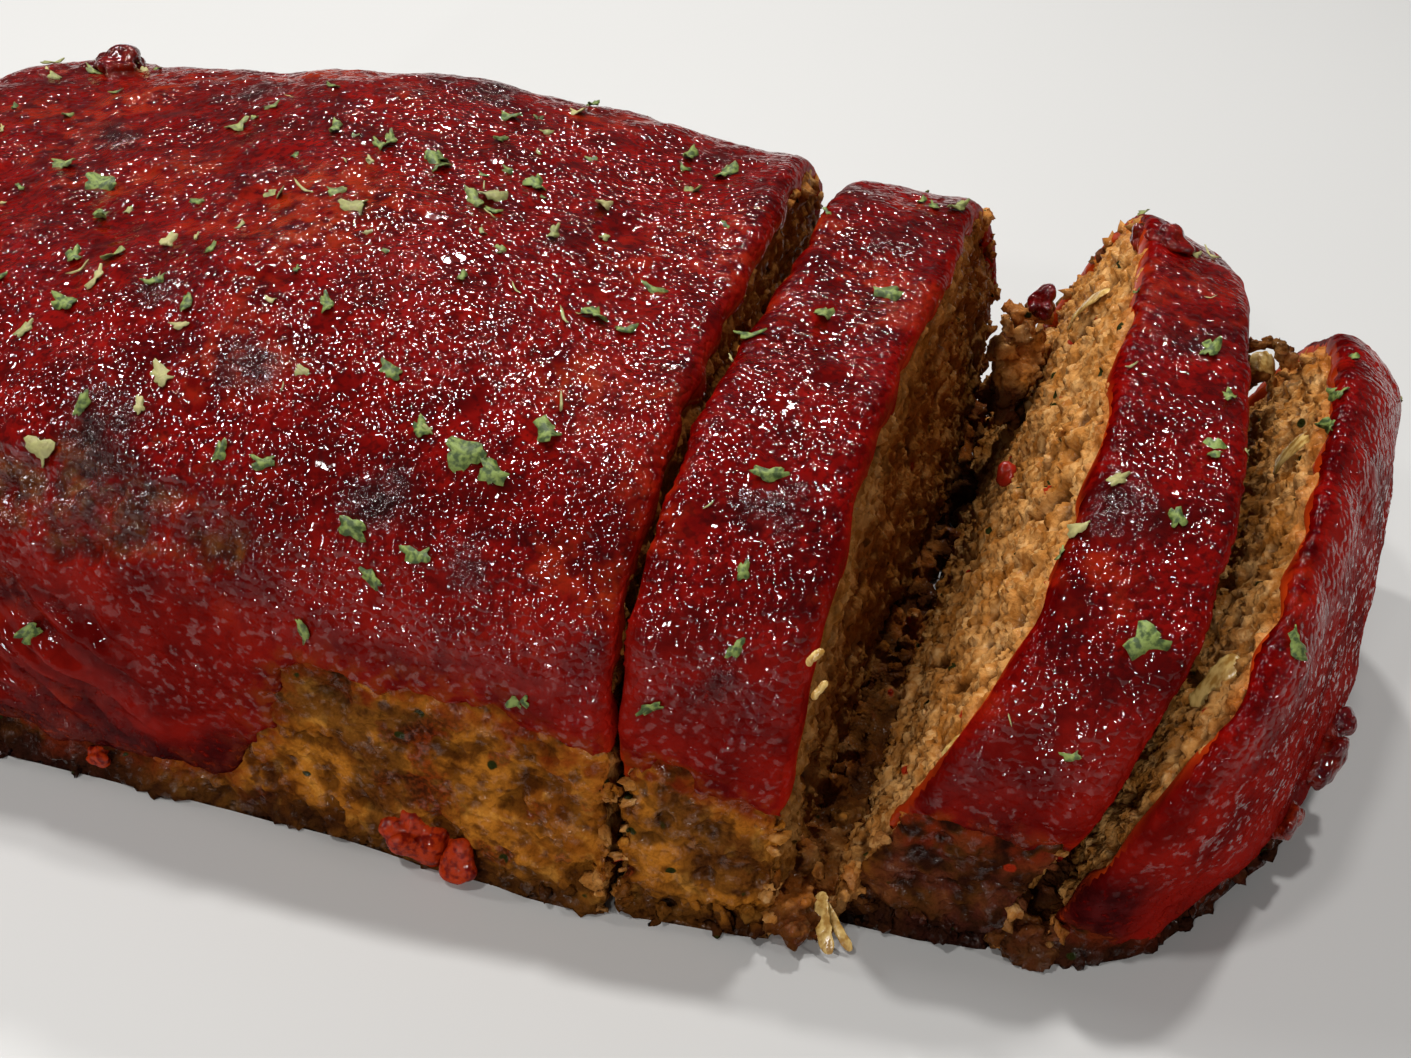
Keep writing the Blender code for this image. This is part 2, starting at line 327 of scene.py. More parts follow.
class Shade:
    """One value in a finish. Sums on it add the nodes that work them out."""

    __add__ = sum_of("ADD")
    __radd__ = sum_of("ADD", swapped=True)
    __sub__ = sum_of("SUBTRACT")
    __rsub__ = sum_of("SUBTRACT", swapped=True)
    __mul__ = sum_of("MULTIPLY")
    __rmul__ = sum_of("MULTIPLY", swapped=True)

    def __init__(self, tree, socket):
        self.tree = tree
        self.socket = socket

    def add(self, kind, settings, inputs, output=0):
        """Adds a node, and gives back one of its outputs."""
        made = self.tree.nodes.new("ShaderNode" + kind)
        for name, value in settings.items():
            setattr(made, name, value)
        for name, value in inputs.items():
            if isinstance(value, Shade):
                self.tree.links.new(value.socket, made.inputs[name])
            else:
                made.inputs[name].default_value = value
        return Shade(self.tree, made.outputs[output])

    def from_to(self, low, high):
        """0 below low, 1 above high, and smooth between."""
        settings = {"interpolation_type": "SMOOTHSTEP"}
        return self.add("MapRange", settings, {"Value": self, "From Min": low, "From Max": high})

    def mix(self, none, full):
        """One colour where this is 0, another where it is 1."""
        return self.add("Mix", {"data_type": "RGBA"}, {0: self, 6: none, 7: full}, 2)

    def cloud(self, size, detail=2):
        """Soft patches of about this size. This value is the place."""
        return self.add("TexNoise", {}, {"Vector": self, "Scale": 1 / size, "Detail": detail})

    def cells(self, size, output="Distance"):
        """Cells of about this size. This value is the place."""
        return self.add("TexVoronoi", {}, {"Vector": self, "Scale": 1 / size}, output)

    def part(self, way):
        """How far the place lies along one way: X, Y or Z."""
        return self.add("SeparateXYZ", {}, {"Vector": self}, way)

    def noted(self, name):
        """A number kept at each vertex."""
        return self.add("Attribute", {"attribute_name": name}, {}, "Fac")

    def stretched(self, x, y, z):
        """The place, with the pattern on it drawn out along each way by these."""
        return self.add("VectorMath", {"operation": "DIVIDE"}, {0: self, 1: (x, y, z)})


def paint(red, green, blue):
    """A colour given from 0 to 255 as an eye sees it, as the renderer wants it."""
    parts = [part / 255 for part in (red, green, blue)]
    return [p / 12.92 if p <= 0.04045 else ((p + 0.055) / 1.055) ** 2.4 for p in parts] + [1]


def new_finish(name):
    """A material, and the place on the piece that its patterns start from."""
    material = bpy.data.materials.new(name)
    material.use_nodes = True
    tree = material.node_tree
    place = Shade(tree, tree.nodes.new("ShaderNodeTexCoord").outputs["Object"])
    return material, place


def set_finish(material, **sockets):
    """Gives the surface its values. An underscore in a name stands for a space."""
    surface = material.node_tree.nodes["Principled BSDF"]
    for name, value in sockets.items():
        socket = surface.inputs[name.replace("_", " ")]
        if isinstance(value, Shade):
            material.node_tree.links.new(value.socket, socket)
        else:
            socket.default_value = value


def dull_where(material, share, **sockets):
    """Mixes in a second surface with less shine, which is all that shows where the share is 1."""
    links = material.node_tree.links
    first = material.node_tree.nodes["Principled BSDF"]
    inputs = {name.replace("_", " "): value for name, value in sockets.items()}
    second = share.add("BsdfPrincipled", {}, inputs)
    both = share.add("MixShader", {}, {0: share, 1: Shade(share.tree, first.outputs["BSDF"]), 2: second})
    links.new(both.socket, material.node_tree.nodes["Material Output"].inputs["Surface"])


def meat_finish():
    """Cut crumb is tan with pale and dark grains; the crust is wet amber, dark at the ends and foot. Pits
    and creases, and cut faces turned to the right, carry painted shade.
    """
    material, place = new_finish("meat")
    cut = place.noted("cut").from_to(0.25, 0.8)
    grain = place.noted("grain")
    height = place.part("Z")
    along = place.part("X")
    patches = place.cloud(7 * MM, 3)
    mottle = place.cloud(2.2 * MM, 3)
    strands = place.stretched(1, 1, 2.2).cloud(1.3 * MM, 3)
    each = place.add("SeparateColor", {}, {"Color": place.cells(1.7 * MM, "Color")}, "Red")
    fine = place.cloud(0.6 * MM, 3)

    crumb = mottle.from_to(0.36, 0.66).mix(paint(156, 98, 42), paint(200, 144, 80))
    crumb = (strands.from_to(0.5, 0.75) * 0.8).mix(crumb, paint(218, 172, 114))
    crumb = (each.from_to(0.7, 1) * 0.5).mix(crumb, paint(212, 166, 106))
    crumb = ((1 - patches.from_to(0.32, 0.56)) * 0.65).mix(crumb, paint(150, 88, 26))
    crumb = ((1 - strands.from_to(0.3, 0.44)) * 0.5).mix(crumb, paint(112, 62, 16))
    # Painted shade: the crumb is painted darkest where its grain is low, in its creases and pits.
    crumb = ((1 - grain.from_to(-0.3, 0.2)) * 0.7).mix(crumb, paint(72, 36, 10))
    near_glaze = 1 - place.noted("rim").from_to(1.2, 4.5)
    crumb = (near_glaze * 0.4).mix(crumb, paint(168, 84, 28))

    gristle = place.cloud(3 * MM, 4)
    crust = patches.from_to(0.36, 0.62).mix(paint(126, 68, 18), paint(172, 106, 34))
    crust = (gristle.from_to(0.54, 0.68) * 0.75).mix(crust, paint(198, 134, 54))
    crust = ((1 - gristle.from_to(0.32, 0.46)) * 0.75).mix(crust, paint(66, 28, 9))
    # Painted shade: the crust too is painted darker in its creases and pits.
    crust = ((1 - grain.from_to(-0.2, 0.4)) * 0.6).mix(crust, paint(44, 20, 6))
    stains = place.cloud(6 * MM, 4).from_to(0.56, 0.64)
    crust = (stains * 0.75).mix(crust, fine.from_to(0.4, 0.6).mix(paint(60, 14, 10), paint(112, 34, 12)))
    dark = 1 - place.cloud(10 * MM, 4).from_to(0.4, 0.48)
    crust = (dark * 0.6).mix(crust, fine.from_to(0.4, 0.65).mix(paint(26, 12, 10), paint(70, 40, 20)))
    baked = (1 - along.from_to(-44 * MM, -20 * MM)) + along.from_to(48 * MM, 56 * MM)
    crust = (baked * 0.85).mix(crust, gristle.from_to(0.4, 0.65).mix(paint(26, 9, 10), paint(78, 32, 26)))
    seep = (1 - place.noted("bare").from_to(0.5, 4)) * place.cloud(3 * MM).from_to(0.35, 0.6)
    crust = (seep * 0.7).mix(crust, paint(116, 34, 10))
    foot = (1 - height.from_to(1 * MM, 7 * MM)) * 0.8
    crust = foot.mix(crust, paint(36, 18, 12))

    colour = cut.mix(crust, crumb)
    herbs = 1 - place.cells(5.5 * MM).from_to(0.09, 0.13)
    colour = herbs.mix(colour, paint(40, 42, 16))
    pepper = 1 - place.cells(9 * MM).from_to(0.06, 0.09)
    colour = pepper.mix(colour, paint(150, 40, 18))

    # Painted shade: cut faces turned to the right are painted darker.
    painted_shade_on_right_faces = place.noted("facing").from_to(0.2, 0.8) * cut
    colour = (painted_shade_on_right_faces * 0.6).mix(colour, strands.from_to(0.3, 0.7).mix(paint(58, 28, 4), paint(128, 78, 26)))

    wet = 0.08 + 0.14 * mottle
    beads = place.cloud(0.8 * MM, 1)
    ridges = fine * 0.35 + mottle * 0.5 + strands * cut * 0.9 + each * cut * 0.2 + beads * (1 - cut)
    normal = place.add("Bump", {}, {"Strength": 0.9, "Distance": 0.8 * MM, "Height": ridges}, "Normal")
    set_finish(material, Base_Color=colour, Roughness=wet, Normal=normal, Specular_IOR_Level=0.35)
    drops = place.cloud(1.2 * MM, 1).from_to(0.5, 0.62)
    dry = 1 - place.cloud(4 * MM, 4).from_to(0.4, 0.54) * (0.9 * drops * (1 - cut) + 0.25 * cut)
    dull_where(material, dry, Base_Color=colour, Roughness=0.5, Normal=normal, Specular_IOR_Level=0)
    return material


def edge_of(dense):
    """How far inside the glaze's uneven edge each point lies. The edge is higher near the far left end."""
    ragged = 2.6 * bumps(dense.places, 9 * MM, 8) + 1.5 * bumps(dense.places, 4 * MM, 9)
    ragged = MM * (ragged + 0.7 * bumps(dense.places, 1.8 * MM, 13))
    lip = MM * (1.7 + 1.9 * bumps(dense.places, 6 * MM, 10))
    x, y, z = dense.places.T / MM
    lift = EDGE_LIFT * (1 - smooth_step(-26, -12, x)) * smooth_step(28, 44, -y)
    inside = np.minimum(dense.inside, (z - lift) * MM)
    return np.where(dense.kind == CUT, np.maximum(lip, 0.4 * MM) - dense.past_rim, inside + ragged)


block = Dense("block_meat", "block_glaze", (1,), BLOCK_SQUARE)
block_edge = edge_of(block)
block_meat = meat_piece("loaf_block", block, block_edge)
meat_look = meat_finish()
block_meat.data.materials.append(meat_look)
meats = [block_meat]
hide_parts("block_meat")
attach(block_meat, "root")

# ----------------------------------------------------------
# The three slices' meat: the same mix, cut from the loaf and leaning away from it. The crumb of
# both their cut faces is torn and coarse, so their squares are smaller than the block's.
# ----------------------------------------------------------

SLICE_SQUARE = 0.5 * MM
BOTH_SIDES = (-1, 1)

slices = {}
for slice_name, cut_sides in (("slice_1", BOTH_SIDES), ("slice_2", BOTH_SIDES), ("end_slice", (-1,))):
    dense = Dense(slice_name + "_meat", slice_name + "_glaze", cut_sides, SLICE_SQUARE)
    edge = edge_of(dense)
    piece = meat_piece("loaf_" + slice_name, dense, edge)
    piece.data.materials.append(meat_look)
    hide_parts(slice_name + "_meat")
    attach(piece, "root")
    meats.append(piece)
    slices[slice_name] = (dense, edge)

# ----------------------------------------------------------
# The glaze on the block: tomato sauce with sugar, brushed on thick before baking. It has set to
# a deep red, sticky coat, scorched on high spots, with a rounded edge that stops above the foot
# and a smooth lip where the knife dragged it over the cut.
# ----------------------------------------------------------

GLAZE_THICK = 1.7 * MM
BEAD = 1.9 * MM
TUCK = 1.3 * MM
BELOW_CRUST = -1.1 * MM
THIN_EDGE = 0.5 * MM
FILM_WIDTH = 7 * MM
CUT_LIP_SHARE = 0.45
HIDDEN_SHARE = 0.06
THINNEST = 0.45 * MM
FOLD_HEIGHT = 2.4 * MM
THIN_MIDDLE = (-0.036, 0.04)
THIN_HALF = (0.0175, 0.0048)
NEAR_SHOULDER = -0.037
BLOCK_BURNT_BELOW = 11
BLOCK_SCORCHES = (
    (-22, -38, 52, 6), (-34.5, -47, 47, 8), (2, -6, 55, 4), (-3, -47, 45, 6), (-65, 5, 53.5, 8),
    (-38, -29, 53.5, 6), (8, -50, 41.5, 5), (-52, 22, 55, 6), (-84, -20, 44, 8), (-20, 30, 54, 6),
)
BLOCK_PALE = (
    (-26, -4, 55, 10), (-50, -3, 55, 9), (-56, -6, 54, 7), (-26, -16, 54, 8), (13, -29, 52, 8),
    (20, -28, 52, 6), (24, -50, 40, 5), (-70, 20, 55, 9), (-45, 30, 52, 9),
)


def spots(places, list_of_spots, seed):
    """1 in the middle of each spot, fading out unevenly to 0 round it."""
    total = np.zeros(len(places))
    wander = bumps(places, 4 * MM, seed)
    for x, y, z, reach in list_of_spots:
        gap = np.linalg.norm(places - np.array((x, y, z)) * MM, axis=1) / (reach * MM)
        total = np.maximum(total, 1 - smooth_step(0.15, 1.0, gap + 0.45 * wander))
    return total


def thin_place(places):
    """1 on the near shoulder where glaze ran off and left only a film, fading out to 0 round it."""
    across = (places[:, 0] - THIN_MIDDLE[0]) / THIN_HALF[0]
    up = (places[:, 2] - THIN_MIDDLE[1] - 0.05 * (places[:, 0] - THIN_MIDDLE[0])) / THIN_HALF[1]
    ring = np.sqrt(across**2 + up**2) - 1
    ring = ring + 0.7 * bumps(places, 6 * MM, 11) + 0.4 * bumps(places, 2.4 * MM, 12)
    return np.where(places[:, 1] < NEAR_SHOULDER, 1 - smooth_step(-0.45, 0.3, ring), 0)


def folds(places):
    """Long slanting wrinkles where the coat slid down the near side of the block's far-left part."""
    along = (places[:, 0] - places[:, 2]) / (14 * MM)
    across = (places[:, 0] + places[:, 2]) / (2.6 * MM)
    waves = bumps(np.stack([along, across, 0 * along], axis=1), 1, 26)
    beside = 1 - smooth_step(10, 18, np.abs(places[:, 0] / MM + 46))
    low = 1 - smooth_step(26, 34, places[:, 2] / MM)
    return waves * beside * low * (places[:, 1] < -40 * MM)


def coat_of(name, dense, edge, scorches, pale, burnt_below):
    """A closed coat over the meat. It is full inside its edge, round at it and tucked in past it."""
    on_cut = dense.kind == CUT
    top = np.clip(dense.out[:, 2], 0, 1)
    broad = bumps(dense.places, 17 * MM, 20)
    waves = bumps(dense.places, 6.5 * MM, 21)
    pimples = bumps(dense.places, 2.3 * MM, 22)
    thick = GLAZE_THICK * (0.62 + 0.38 * top)
    thick = thick + MM * (0.8 * broad + 0.5 * waves + 0.16 * pimples * top)
    wrinkled = folds(dense.places)
    thick = thick + FOLD_HEIGHT * wrinkled
    thin = thin_place(dense.places)
    thick = np.maximum(thick * (1 - 0.7 * thin), THINNEST)
    thin_film = THIN_EDGE + (thick - THIN_EDGE) * smooth_step(0, FILM_WIDTH, edge)
    thick = np.where(on_cut, thick, np.minimum(thick, thin_film))
    over_rim = 1 - smooth_step(0, 1.2 * MM, dense.past_rim)
    lip = thick * CUT_LIP_SHARE + (1 - CUT_LIP_SHARE) * thick * over_rim
    thick = np.where(on_cut, lip, thick)
    share = np.clip(edge / BEAD, 0, 1)
    round_edge = thick * np.sqrt(1 - (1 - share) ** 2)
    rise = np.where(edge > 0, round_edge, 1.6 * edge)
    rise = rise + 0.3 * dense.height * (1 - smooth_step(0.2, 0.8, dense.cut))
    rise = rise + 0.7 * thin * dense.height
    rise = np.where(edge > BEAD, np.maximum(rise, dense.height + 0.4 * MM), rise)
    outside = dense.places + dense.out * rise[:, None]
    outside[:, 2] = np.maximum(outside[:, 2], 0.2 * MM)
    inside = dense.places + dense.out * BELOW_CRUST

    burn_line = burnt_below * MM * (1 + 0.5 * bumps(dense.places, 9 * MM, 25))
    low_burn_and_fold_shade = 1 - smooth_step(0.75, 1.15, dense.places[:, 2] / burn_line)
    # Painted shade: the valleys of the folds are painted dark, in the burnt colour.
    low_burn_and_fold_shade = np.maximum(low_burn_and_fold_shade, 0.7 * smooth_step(0.05, 0.35, -wrinkled))

    piece = copy_named(name, dense.piece.data)
    mesh = piece.data
    note(
        mesh,
        edge=edge / MM,
        lip=smooth_step(0.15, 0.75, dense.cut),
        top=top,
        facing=dense.out[:, 0],
        rim=dense.past_rim / MM,
        thin=thin,
        scorch=np.maximum(spots(dense.places, scorches, 23), 0.9 * low_burn_and_fold_shade),
        pale=spots(dense.places, pale, 24),
        outside_x=outside[:, 0], outside_y=outside[:, 1], outside_z=outside[:, 2],
        inside_x=inside[:, 0], inside_y=inside[:, 1], inside_z=inside[:, 2],
    )
    pick(piece, (edge < -TUCK) | (dense.kind == BASE))
    bpy.ops.mesh.delete(type="VERT")
    bpy.ops.mesh.select_all(action="SELECT")
    bpy.ops.mesh.delete_loose()
    bpy.ops.mesh.select_all(action="SELECT")
    bpy.ops.mesh.duplicate()
    bpy.ops.mesh.flip_normals()
    bpy.ops.object.mode_set(mode="OBJECT")
    settle_coat(piece)
    return piece


def noted(mesh, name):
    """The numbers kept at the vertices under this name."""
    numbers = np.empty(len(mesh.vertices), np.float32)
    mesh.attributes[name].data.foreach_get("value", numbers)
    return numbers


def settle_coat(piece):
    """Lays the two sheets of a coat in place, joins them at the edge and thins out the hidden one."""
    mesh = piece.data
    hidden = np.empty(len(mesh.vertices), bool)
    mesh.vertices.foreach_get("select", hidden)
    uses = np.zeros(len(mesh.edges), int)
    loop_edges = np.empty(len(mesh.loops), int)
    mesh.loops.foreach_get("edge_index", loop_edges)
    np.add.at(uses, loop_edges, 1)
    on_edge = np.zeros(len(mesh.vertices), bool)
    on_edge[edge_ends(mesh)[uses == 1]] = True
    outside = np.stack([noted(mesh, "outside_" + way) for way in "xyz"], axis=1)
    inside = np.stack([noted(mesh, "inside_" + way) for way in "xyz"], axis=1)
    move_to(mesh, np.where((hidden & ~on_edge)[:, None], inside, outside).astype(float))
    for way in "xyz":
        mesh.attributes.remove(mesh.attributes["outside_" + way])
        mesh.attributes.remove(mesh.attributes["inside_" + way])
    note(mesh, hidden=hidden & ~on_edge)
    only(piece)
    bpy.ops.object.mode_set(mode="EDIT")
    bpy.ops.mesh.select_all(action="SELECT")
    bpy.ops.mesh.remove_doubles(threshold=0.002 * MM)
    bpy.ops.object.mode_set(mode="OBJECT")
    near_rim = (noted(mesh, "rim") < 1.8) & (noted(mesh, "hidden") < 0.5)
    piece.vertex_groups.new(name="rims").add(np.flatnonzero(near_rim).tolist(), 1, "REPLACE")
    smooth(piece, 12, vertex_group="rims")
    piece.vertex_groups.clear()
    thin_out(piece, noted(mesh, "hidden") > 0.5, HIDDEN_SHARE)


def glaze_finish():
    """Deep red and sticky: pinpoint gloss on top, wet flecks on the walls, dark where it scorched.

    It is brown where only a film is left. Sauce noted as paler than 1 is orange. The valleys of the folds
    carry painted shade in the burnt colour, and faces turned to the right are painted lighter, a painted
    light.
    """
    material, place = new_finish("glaze")
    edge = place.noted("edge")
    lip = place.noted("lip")
    top = place.noted("top").from_to(0.35, 0.8)
    pale = place.noted("pale")
    scorch = place.noted("scorch")
    patches = place.cloud(8 * MM, 3)
    mottle = place.cloud(2.4 * MM, 3)
    speckle = place.cloud(0.9 * MM, 2)

    red = patches.from_to(0.34, 0.62).mix(paint(72, 0, 0), paint(110, 4, 2))
    red = (mottle.from_to(0.5, 0.72) * 0.5).mix(red, paint(140, 14, 5))
    red = (1 - top).mix(red, patches.from_to(0.3, 0.7).mix(paint(80, 5, 4), paint(126, 18, 10)))
    red = ((1 - mottle.from_to(0.3, 0.5)) * 0.3).mix(red, paint(50, 1, 2))
    red = ((1 - speckle.from_to(0.36, 0.54)) * top * 0.6).mix(red, paint(44, 0, 1))
    specks = 1 - place.cloud(3.4 * MM, 4).from_to(0.3, 0.4)
    red = (specks * top * 0.3).mix(red, paint(38, 2, 3))
    warm = place.cloud(19 * MM, 3).from_to(0.52, 0.68)
    red = (warm * mottle.from_to(0.4, 0.6) * 0.5).mix(red, paint(150, 38, 12))
    red = (pale * mottle.from_to(0.36, 0.62) * 0.6).mix(red, paint(150, 46, 14))
    film = (1 - edge.from_to(0.2, 4)) * mottle.from_to(0.4, 0.62) * (1 - lip)
    red = (film * 0.7).mix(red, paint(124, 50, 14))
    red = ((pale - 1) * 0.8).mix(red, speckle.from_to(0.35, 0.6).mix(paint(96, 12, 5), paint(172, 50, 10)))
    smear = lip * (1 - edge.from_to(0.2, 2.2))
    red = (smear * 0.9).mix(red, paint(170, 54, 12))
    showing = place.noted("thin") * place.cloud(3 * MM, 4).from_to(0.3, 0.6)
    brown = mottle.from_to(0.4, 0.7).mix(paint(46, 20, 8), paint(104, 62, 26))
    red = (showing * 0.85).mix(red, brown)
    # This is real scorch, plus painted shade in the valleys of the folds.
    burnt_and_fold_shade = scorch * speckle.from_to(0.22, 0.5)
    red = (burnt_and_fold_shade * 0.85).mix(red, mottle.from_to(0.4, 0.7).mix(paint(26, 5, 6), paint(70, 18, 18)))

    height = place.part("Z")
    satin = (1 - height.from_to(24 * MM, 34 * MM)) * (1 - place.part("X").from_to(-38 * MM, -26 * MM))
    high = height.from_to(9 * MM, 20 * MM) * (1 - satin)
    near_rim = 1 - place.noted("rim").from_to(0.6, 2.4)
    outer = place.noted("facing").from_to(0.25, 0.6)
    level = place.noted("top").from_to(0.15, 0.65)
    drops = place.cloud(1 * MM, 1).from_to(0.55, 0.64)
    wall_shine = 0.05 + 0.85 * high * drops + 0.3 * satin * patches
    shine = (level * 0.85 + (1 - level) * wall_shine) * (1 - 0.8 * near_rim)
    # Painted light: faces turned to the right, such as the heel's outer side, are painted a brighter red.
    red = (outer * 0.65).mix(red, patches.from_to(0.3, 0.6).mix(paint(106, 8, 5), paint(148, 20, 10)))
    pools = place.cloud(5.5 * MM, 2).from_to(0.3, 0.46) * (1 - lip)
    grit = pools * (level + 0.85 * high).from_to(0, 0.8) * place.noted("rim").from_to(0, 1.2)
    dome = place.cells(0.9 * MM)
    beads = 0.5 * place.cloud(0.75 * MM, 0) + 0.2 * place.cloud(1.6 * MM, 0) - 0.7 * dome * dome
    wrinkles = place.stretched(1, 1, 2.6).cloud(2.6 * MM, 2) * (1 - top) * (0.8 + 0.8 * satin)
    relief = beads * grit + wrinkles + (burnt_and_fold_shade + showing) * 1.6 * place.cloud(1.5 * MM, 3)
    normal = place.add("Bump", {}, {"Strength": 1.0, "Distance": 0.36 * MM, "Height": relief}, "Normal")
    gloss = 0.02 + 0.06 * patches + burnt_and_fold_shade * 0.1 + near_rim * 0.06
    set_finish(material, Base_Color=red, Roughness=gloss, Normal=normal, Specular_IOR_Level=0.45)
    dull_where(material, 1 - shine, Base_Color=red, Roughness=0.5, Normal=normal, Specular_IOR_Level=0)
    return material


glaze_look = glaze_finish()


def glaze_piece(name, node, dense, edge, scorches, pale, burnt_below):
    """A finished coat, which stands in for one of the glaze solids."""
    piece = coat_of(name, dense, edge, scorches, pale, burnt_below)
    piece.data.materials.append(glaze_look)
    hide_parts(node)
    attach(piece, "root")
    return piece


block_coat = glaze_piece(
    "glaze_on_block", "block_glaze", block, block_edge, BLOCK_SCORCHES, BLOCK_PALE, BLOCK_BURNT_BELOW
)
coats = [block_coat]

# ----------------------------------------------------------
# The glaze on the three slices: the same coat, cut with the meat, so it ends in a thin smeared
# lip along each rim. The heel wears it right down its round outer end.
# ----------------------------------------------------------

SLICE_SCORCHES = {
    "slice_1": ((37, -39, 48, 6), (35, -54, 34.5, 5), (41.5, 10, 53, 5)),
    "slice_2": ((72, -29, 47.6, 6), (76.6, -3, 53.5, 5)),
    "end_slice": ((100, -30, 12, 8),),
}
SLICE_BURNT_BELOW = {"slice_1": 8, "slice_2": 21, "end_slice": 15}
SLICE_PALE = {
    "slice_1": ((30, 12, 52, 6), (31, -8, 53, 5)),
    "slice_2": ((66, 22, 50, 6),),
    "end_slice": ((90, 10, 42, 5),),
}
for slice_name, (dense, edge) in slices.items():
    name = "glaze_on_" + slice_name
    scorches = SLICE_SCORCHES[slice_name]
    pale = SLICE_PALE[slice_name]
    burnt_below = SLICE_BURNT_BELOW[slice_name]
    coats.append(glaze_piece(name, slice_name + "_glaze", dense, edge, scorches, pale, burnt_below))

# ----------------------------------------------------------
# Crumbs and scraps of meat: torn off by the knife. They cling to the cut faces and their rims,
# lie at the foot, and fill the bottom of the gaps where the slices still hold together.
# ----------------------------------------------------------

def shape_of(piece):
    """A piece's places and faces. The piece itself is taken away."""
    shape = places_of(piece.data), [tuple(face.vertices) for face in piece.data.polygons]
    bpy.data.objects.remove(piece)
    return shape


def lump_shape(seed, fineness, knobs):
    """A knobbly lump about 2 units across."""
    only(block_meat)
    bpy.ops.mesh.primitive_ico_sphere_add(subdivisions=fineness, radius=1)
    places, faces = shape_of(bpy.context.active_object)
    swell = 1 + 0.8 * bumps(places, 1.1, seed) + knobs * bumps(places, 0.45, seed + 3)
    return places * swell[:, None], faces


def gather(name, parts):
    """One piece from many: each part is its places, its faces and the numbers noted at its points."""
    places, faces, notes = [], [], {}
    count = 0
    for part_places, part_faces, part_notes in parts:
        places.append(part_places)
        faces.extend(tuple(corner + count for corner in face) for face in part_faces)
        for key, value in part_notes.items():
            notes.setdefault(key, []).append(np.full(len(part_places), value))
        count += len(part_places)
    mesh = bpy.data.meshes.new(name)
    mesh.from_pydata(np.concatenate(places).tolist(), [], faces)
    mesh.update()
    mesh.polygons.foreach_set("use_smooth", np.ones(len(mesh.polygons), bool))
    note(mesh, **{key: np.concatenate(rows) for key, rows in notes.items()})
    piece = stand(name, mesh)
    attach(piece, "root")
    return piece


def turned(places, facing, spin, size, place):
    """Places with their Z turned to face this way, spun round it, sized and set down."""
    turn = Vector(facing).to_track_quat("Z", "Y").to_matrix() @ Matrix.Rotation(spin, 3, "Z")
    return (places * np.asarray(size)) @ np.array(turn).T + np.asarray(place)


CUT_SCRAPS = 34
FAR_RIM_SCRAPS = 26
LOW_RIM_SCRAPS = 34
FOOT_SCRAPS = 30
ANY_SPIN = 6.3

chance = random.Random(7)
crumb_shapes = [lump_shape(60 + index, 2, 0.7) for index in range(10)]
scraps = []
clods = []


def lay(pile, place, facing, size, notes):
    """Adds a lump of this size to a pile, at a random spin, and flat where it would pass the floor."""
    places, faces = chance.choice(crumb_shapes)
    shaped = turned(places, facing, chance.uniform(0, ANY_SPIN), size, place)
    shaped[:, 2] = np.maximum(shaped[:, 2], 0)
    pile.append((shaped, faces, notes))


def scrap(place, facing, reach, cut, grain):
    """A small crumb, longer than it is thick."""
    size = [reach * chance.uniform(low, high) for low, high in ((0.6, 1.2), (0.4, 0.7), (0.3, 0.6))]
    notes = {"cut": cut, "grain": grain, "bare": 6, "facing": 0, "rim": chance.uniform(2, 9)}
    lay(scraps, place, facing, size, notes)


def clod(place, facing, reach):
    """A larger lump, which is later remade into one mass with those that it touches."""
    size = [reach, reach * chance.uniform(0.6, 0.9), reach * chance.uniform(0.5, 0.8)]
    lay(clods, place, facing, size, {})


def picks(allowed, count):
    """Some points of a piece, drawn by lot from those allowed."""
    rows = np.flatnonzero(allowed)
    return [rows[chance.randrange(len(rows))] for _ in range(count)]


def tilt():
    """A random way to face."""
    return Vector((chance.uniform(-1, 1), chance.uniform(-1, 1), chance.uniform(-1, 1)))


pieces = [(block, block_edge)] + list(slices.values())
for dense, edge in pieces:
    on_cut = dense.kind == CUT
    for row in picks(on_cut, CUT_SCRAPS):
        reach = chance.uniform(0.5, 1.3) * MM
        surface = dense.places[row] + dense.out[row] * dense.height[row]
        scrap(surface, tilt(), reach, 1, chance.uniform(0, 0.9))
    far_rim = (dense.past_rim < 3 * MM) & (dense.places[:, 1] > 20 * MM) & on_cut
    for row in picks(far_rim, FAR_RIM_SCRAPS):
        reach = chance.uniform(0.7, 2.0) * MM
        scrap(dense.places[row], tilt(), reach, chance.uniform(0.3, 1), chance.uniform(-0.2, 0.7))
    low_rim = (dense.rim < 1 * MM) & (edge < -1 * MM) & (dense.kind != BASE)
    for row in picks(low_rim, LOW_RIM_SCRAPS):
        reach = chance.uniform(0.7, 1.7) * MM
        scrap(dense.places[row], tilt(), reach, chance.uniform(0.2, 0.8), chance.uniform(0, 0.8))
    foot = (dense.kind == SKIN) & (dense.places[:, 2] < 4 * MM)
    for row in picks(foot, FOOT_SCRAPS):
        reach = chance.uniform(0.7, 1.9) * MM
        scrap(dense.places[row], tilt(), reach, 0, chance.uniform(-0.4, 0.7))


WEB_LUMPS = 30
WEB_STEP = 3.2 * MM
WEB_FOOT = 5 * MM
WEB_SQUARE = 0.45 * MM


